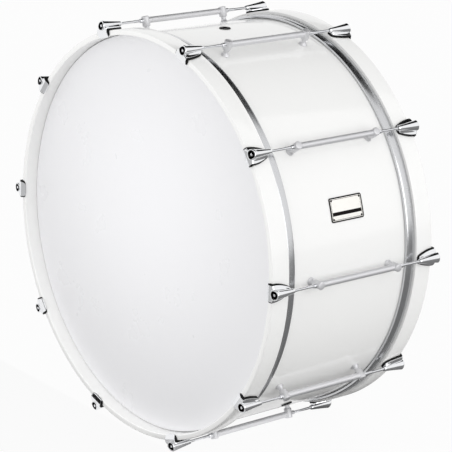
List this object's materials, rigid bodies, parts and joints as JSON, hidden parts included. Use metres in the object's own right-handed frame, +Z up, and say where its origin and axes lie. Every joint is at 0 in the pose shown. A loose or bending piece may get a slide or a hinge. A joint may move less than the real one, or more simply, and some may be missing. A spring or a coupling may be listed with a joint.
{
  "type": "bass drum",
  "caption": "Marching bass drum with a white shell, tube lugs, claw hooks and tension rods; each head and hoop slides out along the axis as its rods unscrew.",
  "frame": {"origin": "on the floor under the middle of the drum, where its four lowest claws stand", "axes": "+Y along the drum's axis from the front head to the rear head, +Z up, +X towards the badge side"},
  "size_m": [0.8824, 0.4276, 0.8403],
  "materials": {
    "shell": "plies under a glossy white plastic wrap",
    "vent": "matt black",
    "badge": "satin, bare plate",
    "lug": "satin silver",
    "head": "smooth white film",
    "flesh_hoop": "rolled and brushed",
    "counterhoop": "white gloss lacquer",
    "claw": "polished chrome casting with a black rubber liner",
    "rod": "chromed steel"
  },
  "bodies": {
    "shell_body": {"shell": "shell", "vent_grommet_01": "vent", "vent_grommet_02": "vent", "badge_plate": "badge", "lug_01": "lug", "lug_02": "lug", "lug_03": "lug", "lug_04": "lug", "lug_05": "lug", "lug_06": "lug", "lug_07": "lug", "lug_08": "lug", "lug_09": "lug", "lug_10": "lug"},
    "front_hoop_set": {"head_front": "head", "flesh_hoop_front": "flesh_hoop", "counterhoop_front": "counterhoop", "claw_front_01": "claw", "claw_front_02": "claw", "claw_front_03": "claw", "claw_front_04": "claw", "claw_front_05": "claw", "claw_front_06": "claw", "claw_front_07": "claw", "claw_front_08": "claw", "claw_front_09": "claw", "claw_front_10": "claw"},
    "rod_front_01": {"tension_rod_front_01": "rod"},
    "rod_front_02": {"tension_rod_front_02": "rod"},
    "rod_front_03": {"tension_rod_front_03": "rod"},
    "rod_front_04": {"tension_rod_front_04": "rod"},
    "rod_front_05": {"tension_rod_front_05": "rod"},
    "rod_front_06": {"tension_rod_front_06": "rod"},
    "rod_front_07": {"tension_rod_front_07": "rod"},
    "rod_front_08": {"tension_rod_front_08": "rod"},
    "rod_front_09": {"tension_rod_front_09": "rod"},
    "rod_front_10": {"tension_rod_front_10": "rod"},
    "rear_hoop_set": {"head_rear": "head", "flesh_hoop_rear": "flesh_hoop", "counterhoop_rear": "counterhoop", "claw_rear_01": "claw", "claw_rear_02": "claw", "claw_rear_03": "claw", "claw_rear_04": "claw", "claw_rear_05": "claw", "claw_rear_06": "claw", "claw_rear_07": "claw", "claw_rear_08": "claw", "claw_rear_09": "claw", "claw_rear_10": "claw"},
    "rod_rear_01": {"tension_rod_rear_01": "rod"},
    "rod_rear_02": {"tension_rod_rear_02": "rod"},
    "rod_rear_03": {"tension_rod_rear_03": "rod"},
    "rod_rear_04": {"tension_rod_rear_04": "rod"},
    "rod_rear_05": {"tension_rod_rear_05": "rod"},
    "rod_rear_06": {"tension_rod_rear_06": "rod"},
    "rod_rear_07": {"tension_rod_rear_07": "rod"},
    "rod_rear_08": {"tension_rod_rear_08": "rod"},
    "rod_rear_09": {"tension_rod_rear_09": "rod"},
    "rod_rear_10": {"tension_rod_rear_10": "rod"}
  },
  "joints": [
    {"name": "front_hoop_slide", "type": "slide", "parent": "shell_body", "child": "front_hoop_set", "axis": [0, -1, 0], "range_m": [0, 0.02]},
    {"name": "rod_front_01_turn", "type": "hinge", "parent": "front_hoop_set", "child": "rod_front_01", "pos_m": [0.13303, -0.20375, 0.82956], "axis": [0, -1, 0], "range_deg": [0, 7200]},
    {"name": "rod_front_02_turn", "type": "hinge", "parent": "front_hoop_set", "child": "rod_front_02", "pos_m": [0.34828, -0.20375, 0.67317], "axis": [0, -1, 0], "range_deg": [0, 7200]},
    {"name": "rod_front_03_turn", "type": "hinge", "parent": "front_hoop_set", "child": "rod_front_03", "pos_m": [0.4305, -0.20375, 0.42013], "axis": [0, -1, 0], "range_deg": [0, 7200]},
    {"name": "rod_front_04_turn", "type": "hinge", "parent": "front_hoop_set", "child": "rod_front_04", "pos_m": [0.34828, -0.20375, 0.16709], "axis": [0, -1, 0], "range_deg": [0, 7200]},
    {"name": "rod_front_05_turn", "type": "hinge", "parent": "front_hoop_set", "child": "rod_front_05", "pos_m": [0.13303, -0.20375, 0.0107], "axis": [0, -1, 0], "range_deg": [0, 7200]},
    {"name": "rod_front_06_turn", "type": "hinge", "parent": "front_hoop_set", "child": "rod_front_06", "pos_m": [-0.13303, -0.20375, 0.0107], "axis": [0, -1, 0], "range_deg": [0, 7200]},
    {"name": "rod_front_07_turn", "type": "hinge", "parent": "front_hoop_set", "child": "rod_front_07", "pos_m": [-0.34828, -0.20375, 0.16709], "axis": [0, -1, 0], "range_deg": [0, 7200]},
    {"name": "rod_front_08_turn", "type": "hinge", "parent": "front_hoop_set", "child": "rod_front_08", "pos_m": [-0.4305, -0.20375, 0.42013], "axis": [0, -1, 0], "range_deg": [0, 7200]},
    {"name": "rod_front_09_turn", "type": "hinge", "parent": "front_hoop_set", "child": "rod_front_09", "pos_m": [-0.34828, -0.20375, 0.67317], "axis": [0, -1, 0], "range_deg": [0, 7200]},
    {"name": "rod_front_10_turn", "type": "hinge", "parent": "front_hoop_set", "child": "rod_front_10", "pos_m": [-0.13303, -0.20375, 0.82956], "axis": [0, -1, 0], "range_deg": [0, 7200]},
    {"name": "rear_hoop_slide", "type": "slide", "parent": "shell_body", "child": "rear_hoop_set", "axis": [0, 1, 0], "range_m": [0, 0.02]},
    {"name": "rod_rear_01_turn", "type": "hinge", "parent": "rear_hoop_set", "child": "rod_rear_01", "pos_m": [0.13303, 0.20375, 0.82956], "axis": [0, 1, 0], "range_deg": [0, 7200]},
    {"name": "rod_rear_02_turn", "type": "hinge", "parent": "rear_hoop_set", "child": "rod_rear_02", "pos_m": [0.34828, 0.20375, 0.67317], "axis": [0, 1, 0], "range_deg": [0, 7200]},
    {"name": "rod_rear_03_turn", "type": "hinge", "parent": "rear_hoop_set", "child": "rod_rear_03", "pos_m": [0.4305, 0.20375, 0.42013], "axis": [0, 1, 0], "range_deg": [0, 7200]},
    {"name": "rod_rear_04_turn", "type": "hinge", "parent": "rear_hoop_set", "child": "rod_rear_04", "pos_m": [0.34828, 0.20375, 0.16709], "axis": [0, 1, 0], "range_deg": [0, 7200]},
    {"name": "rod_rear_05_turn", "type": "hinge", "parent": "rear_hoop_set", "child": "rod_rear_05", "pos_m": [0.13303, 0.20375, 0.0107], "axis": [0, 1, 0], "range_deg": [0, 7200]},
    {"name": "rod_rear_06_turn", "type": "hinge", "parent": "rear_hoop_set", "child": "rod_rear_06", "pos_m": [-0.13303, 0.20375, 0.0107], "axis": [0, 1, 0], "range_deg": [0, 7200]},
    {"name": "rod_rear_07_turn", "type": "hinge", "parent": "rear_hoop_set", "child": "rod_rear_07", "pos_m": [-0.34828, 0.20375, 0.16709], "axis": [0, 1, 0], "range_deg": [0, 7200]},
    {"name": "rod_rear_08_turn", "type": "hinge", "parent": "rear_hoop_set", "child": "rod_rear_08", "pos_m": [-0.4305, 0.20375, 0.42013], "axis": [0, 1, 0], "range_deg": [0, 7200]},
    {"name": "rod_rear_09_turn", "type": "hinge", "parent": "rear_hoop_set", "child": "rod_rear_09", "pos_m": [-0.34828, 0.20375, 0.67317], "axis": [0, 1, 0], "range_deg": [0, 7200]},
    {"name": "rod_rear_10_turn", "type": "hinge", "parent": "rear_hoop_set", "child": "rod_rear_10", "pos_m": [-0.13303, 0.20375, 0.82956], "axis": [0, 1, 0], "range_deg": [0, 7200]}
  ],
  "couplings": [
    {"joint": "rod_front_01_turn", "follows": "front_hoop_slide", "rad_per_m": 6283.2},
    {"joint": "rod_front_02_turn", "follows": "front_hoop_slide", "rad_per_m": 6283.2},
    {"joint": "rod_front_03_turn", "follows": "front_hoop_slide", "rad_per_m": 6283.2},
    {"joint": "rod_front_04_turn", "follows": "front_hoop_slide", "rad_per_m": 6283.2},
    {"joint": "rod_front_05_turn", "follows": "front_hoop_slide", "rad_per_m": 6283.2},
    {"joint": "rod_front_06_turn", "follows": "front_hoop_slide", "rad_per_m": 6283.2},
    {"joint": "rod_front_07_turn", "follows": "front_hoop_slide", "rad_per_m": 6283.2},
    {"joint": "rod_front_08_turn", "follows": "front_hoop_slide", "rad_per_m": 6283.2},
    {"joint": "rod_front_09_turn", "follows": "front_hoop_slide", "rad_per_m": 6283.2},
    {"joint": "rod_front_10_turn", "follows": "front_hoop_slide", "rad_per_m": 6283.2},
    {"joint": "rod_rear_01_turn", "follows": "rear_hoop_slide", "rad_per_m": 6283.2},
    {"joint": "rod_rear_02_turn", "follows": "rear_hoop_slide", "rad_per_m": 6283.2},
    {"joint": "rod_rear_03_turn", "follows": "rear_hoop_slide", "rad_per_m": 6283.2},
    {"joint": "rod_rear_04_turn", "follows": "rear_hoop_slide", "rad_per_m": 6283.2},
    {"joint": "rod_rear_05_turn", "follows": "rear_hoop_slide", "rad_per_m": 6283.2},
    {"joint": "rod_rear_06_turn", "follows": "rear_hoop_slide", "rad_per_m": 6283.2},
    {"joint": "rod_rear_07_turn", "follows": "rear_hoop_slide", "rad_per_m": 6283.2},
    {"joint": "rod_rear_08_turn", "follows": "rear_hoop_slide", "rad_per_m": 6283.2},
    {"joint": "rod_rear_09_turn", "follows": "rear_hoop_slide", "rad_per_m": 6283.2},
    {"joint": "rod_rear_10_turn", "follows": "rear_hoop_slide", "rad_per_m": 6283.2}
  ]
}
